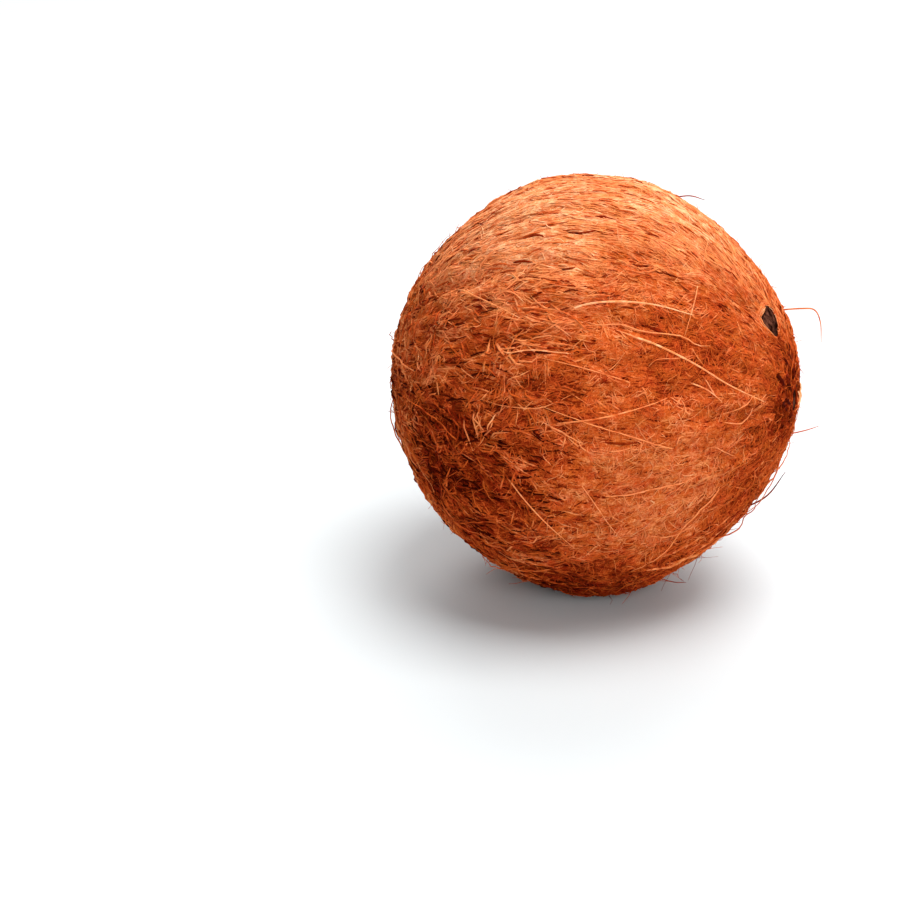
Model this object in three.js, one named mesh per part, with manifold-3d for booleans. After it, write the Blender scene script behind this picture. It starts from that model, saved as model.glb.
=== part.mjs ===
// A whole brown coconut, husk taken off, lying on its side on a small flat spot.
// Units are millimetres. +Z is up, and +X runs along the nut towards its eye end, which
// droops a little. The origin is on the flat spot, straight below the middle of the nut.
// The nut grew as one piece, so it is one solid: an egg with three low lobes, lengthwise
// ridges of matted fibre, three eyes at one end, and coarse strands that stand proud.
import * as THREE from "three";
import { mergeVertices } from "three/addons/utils/BufferGeometryUtils.js";
import Module from "manifold-3d";

const radians = THREE.MathUtils.degToRad;

// The egg: mean radius, and how the radius changes along the nut, as the weights of
// cos(k * angle from the eye end), for k = 0, 1, 2, 3 and 4
const MEAN_RADIUS = 57.4;
const EGG_WEIGHTS = [1, -0.0524, -0.0123, 0.0137, 0.0165];
// The three low lobes that run from end to end, as a share of the radius
const LOBE_HEIGHT = 0.0277;
const LOBE_TURN = radians(15.2);
// How far the eye end hangs below the horizontal, and the middle's height at rest
const DROOP = radians(2.5);
const REST_HEIGHT = 60.1;

// Broad dents and swellings, as waves round the nut and along it
const LUMP_HEIGHT = 0.7;
const LUMP_WAVES = [
  { share: 0.3, round: 2, along: 9, phase: -0.47 },
  { share: 0.8, round: 2, along: -1, phase: -0.4 },
  { share: 1.5, round: 5, along: -3, phase: 2.21 },
];
// The lengthwise ridges of matted fibre: how many of each set go round the nut, their share
// of the height, and the waves of [size, count, phase] in which they wander as they run.
// They fade out between two angles from either end.
const RIDGE_HEIGHT = 0.5;
const RIDGE_SETS = [
  { count: 37, share: 0.8, wander: [[1.7, 3, 0], [0.9, 8, 0]] },
  { count: 23, share: 0.6, wander: [[-2.1, 2, Math.PI / 2], [1.1, 6, 0]] },
  { count: 13, share: 0.3, wander: [[2.4, 2, 1]] },
];
const RIDGE_FADE = [radians(7), radians(42)];

// The three eyes: shallow dishes, each in a low lip, evenly round a small circle whose
// middle lies a little above the nut's axis
const EYE_CLUSTER = [radians(18.5), radians(106.3)];
const EYE_CIRCLE = radians(15);
const EYE_FIRST_TURN = radians(132.2);
const EYE_RADIUS = 4.4;
const EYE_DEPTH = 2.4;
const LIP_THICKNESS = 0.9;
const EYE_SIDES = 14;

// The coarse strands of coir that stand proud of the matted surface. The top was rubbed
// smooth, so the rule that lays them leaves it clear.
const STRAND_TRIES = 66;
const STRAND_RADIUS = 0.6;
const STRAND_SINK = 1.2;
const STRAND_LENGTHS = [20, 46];
const STRAND_LIFTS = [1.3, 2.6];
const ARCH_POWER = 0.7;
const LOOSE_TIP_EVERY = 3;
const LOOSE_TIP_LIFT = 4;
const STRAND_SLANT = radians(32);
const STRAND_BEND = radians(24);
const STRAND_STEPS = 5;
const CLEAR_OF_EYE = radians(9);
const CLEAR_OF_FLOOR = 3;
const CLEAR_OF_TOP = radians(55);
// The longest loose strands, laid by hand: each point is its angle from the eye end and its
// turn round the nut, in degrees, and its height above the mat
const LONG_STRANDS = [
  [[97, 145, -1.2], [91, 143.5, 1.4], [83.5, 142, 2], [74.5, 141, 2.2], [64, 140.5, 1.6]],
  [[83, 149, -1.2], [74.5, 151, 1.4], [62.5, 154.5, 2], [50, 159.5, 2], [34, 165.5, 1.4]],
  [[62.5, 122, -1.2], [63.5, 134, 1.6], [65.5, 147, 1.2]],
  [[112, 191, -1.2], [104, 196.5, 1.6], [97.5, 203, 2.2], [90.5, 211.5, 2.4]],
  [[76, 80.5, -1.2], [70, 83, 2.4], [65.5, 84, 4.4]],
  [[27, 76.5, -1.2], [25, 77.5, 5], [23.5, 78, 8.2], [20, 77.5, 8.6], [15, 77, 7.4]],
  [[11.5, 247, -1.2], [9, 243, 3.4], [7, 238, 7]],
  [[38, 246, -1.2], [30, 245.5, 2.2], [21.5, 245.5, 3.2]],
];

// How finely the egg is divided round the nut and along it, and how near two vertices
// are one
const COLUMNS = 128;
const ROWS = 22;
const MERGE_DISTANCE = 1e-4;

// A point in the nut's own frame: the angle from the eye end, and the turn round the nut
function direction(fromEyeEnd, turn) {
  const across = Math.sin(fromEyeEnd);
  return new THREE.Vector3(Math.cos(fromEyeEnd), across * Math.cos(turn), across * Math.sin(turn));
}

const sumOf = (list, value) => list.reduce((sum, item, index) => sum + value(item, index), 0);

// The smooth form: egg, lobes and broad lumps
function smoothRadius(fromEyeEnd, turn) {
  const egg = sumOf(EGG_WEIGHTS, (weight, k) => weight * Math.cos(k * fromEyeEnd));
  const across = Math.sin(fromEyeEnd) ** 2;
  const lobes = LOBE_HEIGHT * across * Math.cos(3 * (turn - LOBE_TURN));
  const lumps = sumOf(LUMP_WAVES, ({ share, round, along, phase }) => (
    share * Math.sin(round * turn + along * fromEyeEnd + phase)));
  return MEAN_RADIUS * (egg + lobes) + LUMP_HEIGHT * across * lumps;
}

// The matted fibre: sets of ridges that wander as they run from end to end
function ridgeRelief(fromEyeEnd, turn) {
  const ridges = sumOf(RIDGE_SETS, ({ count, share, wander }) => {
    const shift = sumOf(wander, ([size, waves, phase]) => size * Math.sin(waves * fromEyeEnd + phase));
    return share * Math.sin(count * turn + shift);
  });
  const fromEnd = Math.min(fromEyeEnd, Math.PI - fromEyeEnd);
  return RIDGE_HEIGHT * THREE.MathUtils.smoothstep(fromEnd, ...RIDGE_FADE) * ridges;
}

function surfacePoint(fromEyeEnd, turn, proud = 0) {
  const radius = smoothRadius(fromEyeEnd, turn) + proud;
  return direction(fromEyeEnd, turn).multiplyScalar(radius);
}

// The two angles of a direction in the nut's own frame
function anglesOf(way) {
  const unit = way.clone().normalize();
  return [Math.acos(THREE.MathUtils.clamp(unit.x, -1, 1)), Math.atan2(unit.z, unit.y)];
}

// An even spread of values from 0 to 1 with no visible order, one sequence for each step
const GOLDEN_STEP = 0.6180339887;
const spread = (index, step) => (0.5 + (index + 1) * step) % 1;
const between = ([low, high], share) => low + (high - low) * share;

// The matted egg: a sphere whose vertices are moved out to the nut's surface
function eggGeometry() {
  const sphere = new THREE.SphereGeometry(1, COLUMNS, ROWS);
  const place = sphere.getAttribute("position");
  const vertex = new THREE.Vector3();
  for (let i = 0; i < place.count; i += 1) {
    vertex.fromBufferAttribute(place, i);
    // The sphere's own poles lie on Y, and the nut's lie on X
    const [fromEyeEnd, turn] = anglesOf(new THREE.Vector3(vertex.y, vertex.z, vertex.x));
    const relief = ridgeRelief(fromEyeEnd, turn);
    vertex.copy(surfacePoint(fromEyeEnd, turn, relief));
    place.setXYZ(i, vertex.x, vertex.y, vertex.z);
  }
  return sphere;
}

function eyeDirections() {
  const endWay = new THREE.Vector3(1, 0, 0);
  const toCluster = new THREE.Quaternion().setFromUnitVectors(endWay, direction(...EYE_CLUSTER));
  return [0, 1, 2].map((eye) => {
    const turn = EYE_FIRST_TURN + (eye * 2 * Math.PI) / 3;
    return direction(EYE_CIRCLE, turn).applyQuaternion(toCluster);
  });
}

// Turns a geometry made round +Z to face out of the nut at one direction, and sets it there
function setOnSurface(geometry, way, proud) {
  const outwards = new THREE.Quaternion().setFromUnitVectors(new THREE.Vector3(0, 0, 1), way);
  const place = surfacePoint(...anglesOf(way), proud);
  return geometry.applyQuaternion(outwards).translate(place.x, place.y, place.z);
}

function eyeDish(way) {
  const dish = new THREE.SphereGeometry(1, EYE_SIDES, EYE_SIDES / 2);
  dish.scale(EYE_RADIUS, EYE_RADIUS, EYE_DEPTH);
  return setOnSurface(dish, way, 0);
}

function eyeLip(way) {
  const lip = new THREE.TorusGeometry(EYE_RADIUS + LIP_THICKNESS / 2, LIP_THICKNESS, 5, EYE_SIDES);
  return setOnSurface(lip, way, -LIP_THICKNESS / 3);
}

// One strand's middle line: it starts sunk in the mat, follows the nut's curve with a
// slant and a bend, and either dives back in or ends in a lifted tip
function strandPath(index, count) {
  const fromEyeEnd = Math.acos(1 - (2 * (index + 0.5)) / count);
  const start = direction(fromEyeEnd, 2 * Math.PI * GOLDEN_STEP * index);
  const length = between(STRAND_LENGTHS, spread(index, Math.SQRT2));
  const lift = between(STRAND_LIFTS, spread(index, Math.sqrt(3)));
  const bend = between([-STRAND_BEND, STRAND_BEND], spread(index, Math.sqrt(5)));
  const slant = between([-STRAND_SLANT, STRAND_SLANT], spread(index, Math.sqrt(7)));
  const tip = index % LOOSE_TIP_EVERY === 0 ? LOOSE_TIP_LIFT : -STRAND_SINK;
  const heading = new THREE.Vector3(1, 0, 0).addScaledVector(start, -start.x).normalize();
  heading.applyAxisAngle(start, slant);
  if (index % 2) heading.negate();
  const points = [];
  const place = start.clone();
  const step = length / MEAN_RADIUS / STRAND_STEPS;
  for (let i = 0; i <= STRAND_STEPS; i += 1) {
    const share = i / STRAND_STEPS;
    const arch = Math.sin(Math.PI * share) ** ARCH_POWER * (lift + STRAND_SINK);
    const proud = -STRAND_SINK + arch + Math.max(0, 2 * share - 1) * (tip + STRAND_SINK);
    points.push(surfacePoint(...anglesOf(place), proud));
    // One step along the great circle, then a little of the bend
    const side = new THREE.Vector3().crossVectors(place, heading).normalize();
    place.applyAxisAngle(side, step);
    heading.applyAxisAngle(side, step).applyAxisAngle(place, bend / STRAND_STEPS);
  }
  return points;
}

const laidPath = (points) => points.map(([fromEyeEnd, turn, proud]) => (
  surfacePoint(radians(fromEyeEnd), radians(turn), proud)));

const toRest = (geometry) => geometry.rotateY(DROOP).translate(0, 0, REST_HEIGHT);

function strandsByRule() {
  const top = new THREE.Vector3(0, 0, 1);
  const indices = Array.from({ length: STRAND_TRIES }, (empty, index) => index);
  const paths = indices.map((index) => strandPath(index, STRAND_TRIES));
  return paths.filter((points) => points.every((point) => point.angleTo(top) > CLEAR_OF_TOP));
}

function isClear(points, eyes) {
  const droopAxis = new THREE.Vector3(0, 1, 0);
  const heights = points.map((point) => point.clone().applyAxisAngle(droopAxis, DROOP).z);
  const nearEye = points.some((point) => eyes.some((eye) => point.angleTo(eye) < CLEAR_OF_EYE));
  return !nearEye && Math.min(...heights) + REST_HEIGHT > CLEAR_OF_FLOOR;
}

function strandGeometry(points) {
  const corners = [90, 210, 330].map((angle) => new THREE.Vector2(
    STRAND_RADIUS * Math.cos(radians(angle)),
    STRAND_RADIUS * Math.sin(radians(angle)),
  ));
  return new THREE.ExtrudeGeometry(new THREE.Shape(corners), {
    steps: STRAND_STEPS,
    bevelEnabled: false,
    extrudePath: new THREE.CatmullRomCurve3(points),
  });
}

// The space below the surface that the nut lies on, which cuts its small flat spot
function floorGeometry() {
  const side = 4 * MEAN_RADIUS;
  return new THREE.BoxGeometry(side, side, side).translate(0, 0, -side / 2);
}

// Turns a closed geometry into a solid that can be joined and cut
const library = await Module();
library.setup();
function solidOf(geometry) {
  const bare = geometry.clone();
  bare.deleteAttribute("normal");
  bare.deleteAttribute("uv");
  const merged = mergeVertices(bare, MERGE_DISTANCE);
  return new library.Manifold(new library.Mesh({
    numProp: 3,
    vertProperties: new Float32Array(merged.getAttribute("position").array),
    triVerts: new Uint32Array(merged.index.array),
  }));
}

function geometryOf(solid) {
  const mesh = solid.getMesh();
  const geometry = new THREE.BufferGeometry();
  geometry.setAttribute("position", new THREE.BufferAttribute(mesh.vertProperties, 3));
  geometry.setIndex(new THREE.BufferAttribute(mesh.triVerts, 1));
  geometry.computeVertexNormals();
  return geometry;
}

function coconutSolid() {
  const eyes = eyeDirections();
  let nut = solidOf(toRest(eggGeometry()));
  for (const eye of eyes) nut = nut.add(solidOf(toRest(eyeLip(eye))));
  for (const eye of eyes) nut = nut.subtract(solidOf(toRest(eyeDish(eye))));
  for (const points of [...LONG_STRANDS.map(laidPath), ...strandsByRule()]) {
    if (isClear(points, eyes)) nut = nut.add(solidOf(toRest(strandGeometry(points))));
  }
  return nut.subtract(solidOf(floorGeometry()));
}

const coir = new THREE.MeshStandardMaterial({ color: 0xb5623a, roughness: 0.9, metalness: 0 });

const coconut = new THREE.Mesh(geometryOf(coconutSolid()), coir);
coconut.name = "coconut";

const part = new THREE.Group();
part.add(coconut);

export default part;
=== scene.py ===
# %% [markdown]
# A whole brown coconut. Its husk was torn off, and what is left is the nut in its mat of coir:
# short brown fibres that run from end to end, felted together, with loose ends standing out.
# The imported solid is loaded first. It is the fixed frame, and everything made here lies round
# it, in metres. Its box is kept, because the finished nut has to have the same size.

# %% Load the solid nut
import math
from math import pi, radians

import bmesh
import bpy
import numpy as np
from mathutils import Euler, Matrix, Vector, noise


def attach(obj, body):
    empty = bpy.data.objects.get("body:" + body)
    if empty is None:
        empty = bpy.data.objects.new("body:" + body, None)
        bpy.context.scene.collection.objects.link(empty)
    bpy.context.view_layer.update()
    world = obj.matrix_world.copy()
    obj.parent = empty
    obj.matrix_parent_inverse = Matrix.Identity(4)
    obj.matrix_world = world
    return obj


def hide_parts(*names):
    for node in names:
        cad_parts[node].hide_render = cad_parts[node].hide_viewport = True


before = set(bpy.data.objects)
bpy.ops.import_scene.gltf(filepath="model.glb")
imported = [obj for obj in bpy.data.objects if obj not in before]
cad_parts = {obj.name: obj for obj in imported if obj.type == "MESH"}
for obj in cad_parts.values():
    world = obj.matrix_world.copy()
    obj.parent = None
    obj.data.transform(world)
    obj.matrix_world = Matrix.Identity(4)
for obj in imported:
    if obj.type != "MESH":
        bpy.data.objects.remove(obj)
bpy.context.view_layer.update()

MM = 0.001

# %% [markdown]
# The nut's form comes first. A coconut is an egg with three low lobes, and its mat has broad
# lumps and lengthwise ridges. It could be sculpted by hand, but then the fibres would have
# nothing exact to lie on. So the form is one rule: it gives the radius in any direction, and
# the mat, the fibres and the eyes all ask it where the surface is. The values are the same as
# in the solid. A direction is a unit vector in the nut's own frame, with X at its eye end.

# %% The rule for the nut's form
MEAN_RADIUS = 57.4 * MM
EGG_WEIGHTS = (1, -0.0524, -0.0123, 0.0137, 0.0165)
LOBE_HEIGHT = 0.0277
LOBE_TURN = radians(15.2)
LUMP_HEIGHT = 0.7 * MM
LUMP_WAVES = ((0.3, 2, 9, -0.47), (0.8, 2, -1, -0.4), (1.5, 5, -3, 2.21))
RIDGE_HEIGHT = 0.5 * MM
RIDGE_SETS = (
    (37, 0.8, ((1.7, 3, 0), (0.9, 8, 0))),
    (23, 0.6, ((-2.1, 2, pi / 2), (1.1, 6, 0))),
    (13, 0.3, ((2.4, 2, 1),)),
)
RIDGE_FADE = (radians(7), radians(42))


def smooth_step(value, low, high):
    """0 below low, 1 above high, and a smooth rise between them."""
    share = np.clip((value - low) / (high - low), 0, 1)
    return share * share * (3 - 2 * share)


def direction(from_eye_end, turn):
    """The unit vector at an angle from the eye end and a turn round the nut."""
    across = np.sin(from_eye_end)
    parts = [np.cos(from_eye_end) + 0 * turn, across * np.cos(turn), across * np.sin(turn)]
    return np.stack(parts, -1)


def unit(ways):
    return ways / np.linalg.norm(ways, axis=-1, keepdims=True)


def angles_of(ways):
    return np.arccos(np.clip(ways[..., 0], -1, 1)), np.arctan2(ways[..., 2], ways[..., 1])


def nut_radius(ways):
    """How far the mat's surface is from the nut's middle in each direction."""
    from_eye_end, turn = angles_of(ways)
    across = np.sin(from_eye_end) ** 2
    egg = sum(weight * np.cos(k * from_eye_end) for k, weight in enumerate(EGG_WEIGHTS))
    lobes = LOBE_HEIGHT * across * np.cos(3 * (turn - LOBE_TURN))
    lumps = sum(share * np.sin(n * turn + m * from_eye_end + p) for share, n, m, p in LUMP_WAVES)
    ridges = 0
    for count, share, wander in RIDGE_SETS:
        shift = sum(size * np.sin(waves * from_eye_end + phase) for size, waves, phase in wander)
        ridges = ridges + share * np.sin(count * turn + shift)
    fade = smooth_step(np.minimum(from_eye_end, pi - from_eye_end), *RIDGE_FADE)
    return MEAN_RADIUS * (egg + lobes) + LUMP_HEIGHT * across * lumps + RIDGE_HEIGHT * fade * ridges


print("the nut is", round(2 * float(nut_radius(direction(pi / 2, 0.0))) / MM, 1), "mm thick")

# %% [markdown]
# The nut lies on its side on a small flat spot, and its eye end droops a little. Every piece is
# made round the nut's middle and then put to rest by one step, which turns it, lifts it and
# lets nothing sink below the table. The flat spot comes from that by itself.

# %% Put to rest
DROOP = radians(2.5)
REST_HEIGHT = 60.1 * MM
REST_TURN = np.array(Euler((0, DROOP, 0)).to_matrix())


def at_rest(points, clear=0.0):
    """Points round the nut's middle, moved to where the nut lies, and kept clear of the table."""
    moved = points @ REST_TURN.T
    moved[..., 2] = np.maximum(moved[..., 2] + REST_HEIGHT, clear)
    return moved


def add_object(name, data):
    """A new object at the origin, in the scene."""
    thing = bpy.data.objects.new(name, data)
    bpy.context.scene.collection.objects.link(thing)
    return thing


def mesh_of(shape, name):
    """The bmesh as a mesh, which ends the bmesh."""
    mesh = bpy.data.meshes.new(name)
    shape.to_mesh(mesh)
    shape.free()
    return mesh


def finish_piece(piece, material):
    """The piece is smooth, has its finish, and rides on the nut's only body."""
    piece.data.polygons.foreach_set("use_smooth", [True] * len(piece.data.polygons))
    piece.data.materials.append(material)
    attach(piece, "root")
    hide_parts("coconut")
    triangles = sum(len(face.vertices) - 2 for face in piece.data.polygons)
    print(piece.name, "has", triangles, "triangles")


# %% [markdown]
# Three eyes lie at the end where the nut hung from its stalk. Each is a shallow dish with a low
# lip, and fibres part round it. Their places are measured from the eye end, as everything is.

# %% Where the eyes are
EYE_CLUSTER = direction(radians(18.5), radians(106.3))
EYE_CIRCLE = radians(15)
EYE_FIRST_TURN = radians(132.2)
EYE_RADIUS = 4.4 * MM
EYE_DEPTH = 2.4 * MM
LIP_REACH = 5.0 * MM
LIP_WIDTH = 0.8 * MM
LIP_HEIGHT = 0.55 * MM

to_cluster = Vector((1, 0, 0)).rotation_difference(Vector(EYE_CLUSTER))
EYES = [
    np.array(to_cluster @ Vector(direction(EYE_CIRCLE, EYE_FIRST_TURN + eye * 2 * pi / 3)))
    for eye in range(3)
]


def reach_of(ways, eye):
    """The distance along the surface from an eye's middle."""
    return np.arccos(np.clip(ways @ eye, -1, 1)) * MEAN_RADIUS


def eye_relief(ways):
    """How much the eyes' dishes and lips change the height of the mat."""
    relief = 0
    for eye in EYES:
        reach = reach_of(ways, eye)
        dish = 1 - smooth_step(reach, 0.5 * EYE_RADIUS, 1.05 * EYE_RADIUS)
        lip = np.exp(-(((reach - LIP_REACH) / LIP_WIDTH) ** 2))
        relief = relief + LIP_HEIGHT * lip - EYE_DEPTH * dish
    return relief


print("eyes are", round(math.degrees(math.acos(EYES[0] @ EYES[1])), 1), "degrees apart")

# %% [markdown]
# Colours vary over the nut, some patches are felted, and others are combed. A smooth random
# value gives such patches. Noise textures do this in a material, but the fibres need the same
# value in the mesh code. A sum of a few waves in seeded random directions is smooth, quick and
# the same in each run. With it go maps of the rubbed top, the coarse far end, felted fibre and
# clumps. The tone adds them up, from 0, nearly black, to 1, pale straw. It also holds painted
# light and shade: the top is paler, partly its own colour and partly painted light from above,
# and some places are darker or paler as painted shade and light. Such a place is an angle from
# the eye end, a turn and a reach, in degrees, and its change of tone.

# %% Smooth random patches
LIT_AND_RUBBED_TOP = np.array([0.05, -0.1, 0.98])
RUBBED_ZONE = (0.42, 0.80)
COARSE_ZONE = (radians(76), radians(108))
COARSE_LOST_ON_TOP = 0.6
FELTED_ZONE = (radians(70), radians(118))
OFF_TOP_ZONE = (radians(35), radians(70))
FELT_LEAST = 0.04
FELT_OF_COARSE = 0.25
FELT_OF_PATCHES = 0.16
CLUMP_HEIGHT = 0.11 * MM
CLUMP_STRETCH = 0.4
CLUMP_WAVES = 24
FINE_CLUMPS = 0.7
COARSE_CLUMPS = 1.6
MID_TONE = 0.472
# Painted light: the top's tone is raised, partly for the coir's own paler colour and partly for the light
# that falls on it from above.
TOP_PALER_AND_LIT = 0.295
LIT_TOP_ZONE = (0.36, 0.92)
# Places of painted light and shade in the tone: darker at the lower left and the bottom, paler at the top
# left and the lower right, and others lighter or darker elsewhere; the last one darkens the eye end.
LIGHT_SHADE_AND_TONE_PLACES = (
    (70, 197, 38, 0.18),
    (45, 172, 26, 0.08),
    (122, 198, 36, -0.17),
    (85, 245, 36, -0.20),
    (118, 118, 36, 0.18),
    (63, 135, 34, -0.11),
    (70, 108, 24, 0.07),
    (13, 155, 22, -0.24),
)
TONED_CORE = 0.2
TONE_OF_PATCHES = 0.025
TONE_OF_CLUMPS = 0.028


def patches(ways, fineness, seed, waves=8):
    """A smooth random value, mostly from -2 to 2, with patches that shrink as fineness grows."""
    draw = np.random.default_rng(seed)
    turns = draw.normal(size=(waves, 3)) * fineness
    phases = draw.uniform(0, 2 * pi, waves)
    return np.sin(ways @ turns.T + phases).sum(-1) * math.sqrt(2 / waves)


def rubbed(ways):
    """0 on the sides, and 1 on top, where the mat was rubbed smooth."""
    return smooth_step(ways @ LIT_AND_RUBBED_TOP, *RUBBED_ZONE)


def coarseness(ways):
    """0 near the eyes, and 1 at the far end, where the mat is rough and deeply grooved."""
    rough = smooth_step(angles_of(ways)[0], *COARSE_ZONE)
    return rough * (1 - COARSE_LOST_ON_TOP * rubbed(ways))


def felting(ways):
    """0 where the fibre is combed lengthwise, and 1 where it is felted every way."""
    from_eye_end, turn = angles_of(ways)
    near_eyes = 1 - smooth_step(from_eye_end, *FELTED_ZONE)
    from_top = np.abs(np.angle(np.exp(1j * (turn - pi / 2))))
    felt = near_eyes * smooth_step(from_top, *OFF_TOP_ZONE) + FELT_OF_COARSE * coarseness(ways)
    return np.clip(felt + FELT_OF_PATCHES * patches(ways, fineness=6, seed=11) + FELT_LEAST, 0, 1)


def clumps(ways):
    """Small clumps of fibre, drawn out lengthwise where it is combed, mostly from -2 to 2."""
    from_eye_end, turn = angles_of(ways)
    spots = np.stack([CLUMP_STRETCH * from_eye_end, np.cos(turn), np.sin(turn)], -1)
    drawn_out = patches(spots, 55, 31, CLUMP_WAVES) + FINE_CLUMPS * patches(spots, 120, 32, CLUMP_WAVES)
    rounded = patches(ways, 60, 33, CLUMP_WAVES) + FINE_CLUMPS * patches(ways, 130, 34, CLUMP_WAVES)
    both = drawn_out + (rounded - drawn_out) * felting(ways)
    return both * (1 + COARSE_CLUMPS * coarseness(ways))


def tone_with_painted_light(ways):
    """The tone of the coir, with painted light: paler on top, partly its own colour and partly painted
    light from above, painted shade below, and dark round the eyes.
    """
    tone = MID_TONE + TOP_PALER_AND_LIT * smooth_step(ways @ LIT_AND_RUBBED_TOP, *LIT_TOP_ZONE)
    for from_eye_end, turn, reach, change in LIGHT_SHADE_AND_TONE_PLACES:
        middle = direction(radians(from_eye_end), radians(turn))
        away = np.degrees(np.arccos(np.clip(ways @ middle, -1, 1)))
        tone = tone + change * (1 - smooth_step(away, TONED_CORE * reach, reach))
    for fineness, seed in ((4, 21), (14, 22)):
        tone = tone + TONE_OF_PATCHES * patches(ways, fineness, seed)
    return tone + TONE_OF_CLUMPS * clumps(ways)


print("the tone on top is", round(float(tone_with_painted_light(LIT_AND_RUBBED_TOP)), 2))

# %% [markdown]
# The fibre grain is what the eye reads first, so its direction is worked out once. Fibres leave
# the far end, spread over the belly of the nut and draw together near the eyes, as the lines
# between the two poles of a magnet do. At each place, the pull of both poles is added.

# %% The way that the fibres run
FIBRE_POLE = direction(radians(13), radians(127))
FAR_POLE = np.array([-1.0, 0.0, 0.0])
POLE_CLEARANCE = 0.004


def grain(ways):
    """The unit vector along the fibres at each place, towards the eye end."""
    pull = 0
    for pole, sign in ((FIBRE_POLE, 1), (FAR_POLE, -1)):
        towards = ways @ pole
        along = pole - ways * towards[..., None]
        pull = pull + sign * along / (1 - towards + POLE_CLEARANCE)[..., None]
    return unit(pull)


def swung(along, ways, angle):
    """A direction along the surface, turned by an angle about the line out of the nut."""
    angle = np.asarray(angle)[..., None]
    return along * np.cos(angle) + np.cross(ways, along) * np.sin(angle)


def grown(starts, lengths, swings, steps):
    """Lines of directions that start at each place and follow the grain, off it by swings."""
    ways = unit(starts)
    line = [ways]
    step = lengths / MEAN_RADIUS / (steps - 1)
    for k in range(steps - 1):
        ways = unit(ways + swung(grain(ways), ways, swings[:, k]) * step[:, None])
        line.append(ways)
    return np.stack(line, 1)


# %% [markdown]
# The mat is the brown ground that all loose fibre lies on. It could be a subdivided cube, but a
# sphere with its poles at the nut's two ends has its columns lengthwise, so narrow ridges and
# gaps come out crisp. Each vertex is moved out to the rule's radius, a little below the loose
# fibre, and a stretched noise cuts furrows that follow the grain.

# %% Model the mat
MAT_COLUMNS = 448
MAT_ROWS = 170
MAT_SINK = 0.02 * MM
FURROW_DEPTH = 0.25 * MM
FURROWS_ROUND = 38
FURROWS_ALONG = 5
FURROW_NOISE = (0.6, 2.1, 3)


def furrows(ways):
    """Narrow furrows along the nut, from -1 to 1."""
    from_eye_end, turn = angles_of(ways)
    around = np.stack([np.cos(turn), np.sin(turn)], -1) * FURROWS_ROUND
    spots = np.concatenate([FURROWS_ALONG * from_eye_end[:, None], around], -1)
    return np.array([noise.fractal(Vector(spot), *FURROW_NOISE) for spot in spots])


def mat_mesh():
    shape = bmesh.new()
    bmesh.ops.create_uvsphere(shape, u_segments=MAT_COLUMNS, v_segments=MAT_ROWS, radius=1)
    bmesh.ops.rotate(shape, verts=shape.verts, matrix=Matrix.Rotation(pi / 2, 3, "Y"))
    mesh = mesh_of(shape, "coconut_mat")
    places = np.empty(len(mesh.vertices) * 3)
    mesh.vertices.foreach_get("co", places)
    ways = unit(places.reshape(-1, 3))
    radius = nut_radius(ways) + eye_relief(ways) + CLUMP_HEIGHT * clumps(ways)
    radius = radius + FURROW_DEPTH * furrows(ways) - MAT_SINK
    mesh.vertices.foreach_set("co", at_rest(ways * radius[:, None]).ravel())
    tone = mesh.attributes.new("tone", "FLOAT", "POINT")
    tone.data.foreach_set("value", tone_with_painted_light(ways).astype(np.float32))
    mesh.update()
    return mesh


# %% [markdown]
# Each loose fibre is a thin three-sided tube along a line of points. Tubes could be extruded one
# by one, but there are tens of thousands. A curve object takes them all: each fibre is a spline,
# and one small triangle, set as the curve's bevel object, is drawn along every spline and scaled
# by the radius at each point. Turned to a mesh, the tubes are cheap, and their open ends are
# filled there. Each fibre's tone is kept as an attribute, which the finish reads.

# %% Tubes from lines of points
def section_curve(sides):
    """A closed ring of points, one metre out, to be drawn along the fibres."""
    ring = bpy.data.curves.new(f"section_{sides}", "CURVE")
    ring.dimensions = "2D"
    spline = ring.splines.new("POLY")
    spline.points.add(sides - 1)
    for point, turn in zip(spline.points, np.arange(sides) * 2 * pi / sides):
        point.co = (math.cos(turn), math.sin(turn), 0, 1)
    spline.use_cyclic_u = True
    return add_object(ring.name, ring)


def fibre_piece(name, lines, radii, tones, sides=3):
    """One piece that holds a tapered tube along each line, in the order given."""
    section = section_curve(sides)
    curve = bpy.data.curves.new(name + "_lines", "CURVE")
    curve.dimensions = "3D"
    curve.bevel_mode = "OBJECT"
    curve.bevel_object = section
    count, steps = radii.shape
    lines = np.concatenate([lines, np.ones((count, steps, 1))], -1)
    for line, radius in zip(lines, radii):
        spline = curve.splines.new("POLY")
        spline.points.add(steps - 1)
        spline.points.foreach_set("co", line.ravel())
        spline.points.foreach_set("radius", radius)
    holder = add_object(curve.name, curve)
    depsgraph = bpy.context.evaluated_depsgraph_get()
    mesh = bpy.data.meshes.new_from_object(holder.evaluated_get(depsgraph))
    for used in (holder, section):
        data = used.data
        bpy.data.objects.remove(used)
        bpy.data.curves.remove(data)
    mesh.materials.clear()
    mesh.name = name
    close_tubes(mesh, sides)
    tone = mesh.attributes.new("tone", "FLOAT", "POINT")
    tone.data.foreach_set("value", np.repeat(tones, steps * sides).astype(np.float32))
    finish_piece(add_object(name, mesh), FIBRE)


def close_tubes(mesh, sides):
    """Both ends of each tube get a cap, and all faces point outwards."""
    shape = bmesh.new()
    shape.from_mesh(mesh)
    ends = [edge for edge in shape.edges if edge.is_boundary]
    bmesh.ops.holes_fill(shape, edges=ends, sides=sides)
    bmesh.ops.recalc_face_normals(shape, faces=shape.faces)
    shape.to_mesh(mesh)
    shape.free()


# %% [markdown]
# Coir is matte, and its colour runs from nearly black in the gaps, through red-brown and orange,
# to pale straw on the loose ends. One colour ramp holds that range, in a node group, because the
# mat and the fibres both take their colours from it. A second group turns the surface's own
# place into streaks that follow the nut: it undoes the droop, splits off the angle round the
# nut, and feeds noise with it, so the streaks have no seam and narrow towards both ends.

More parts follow.
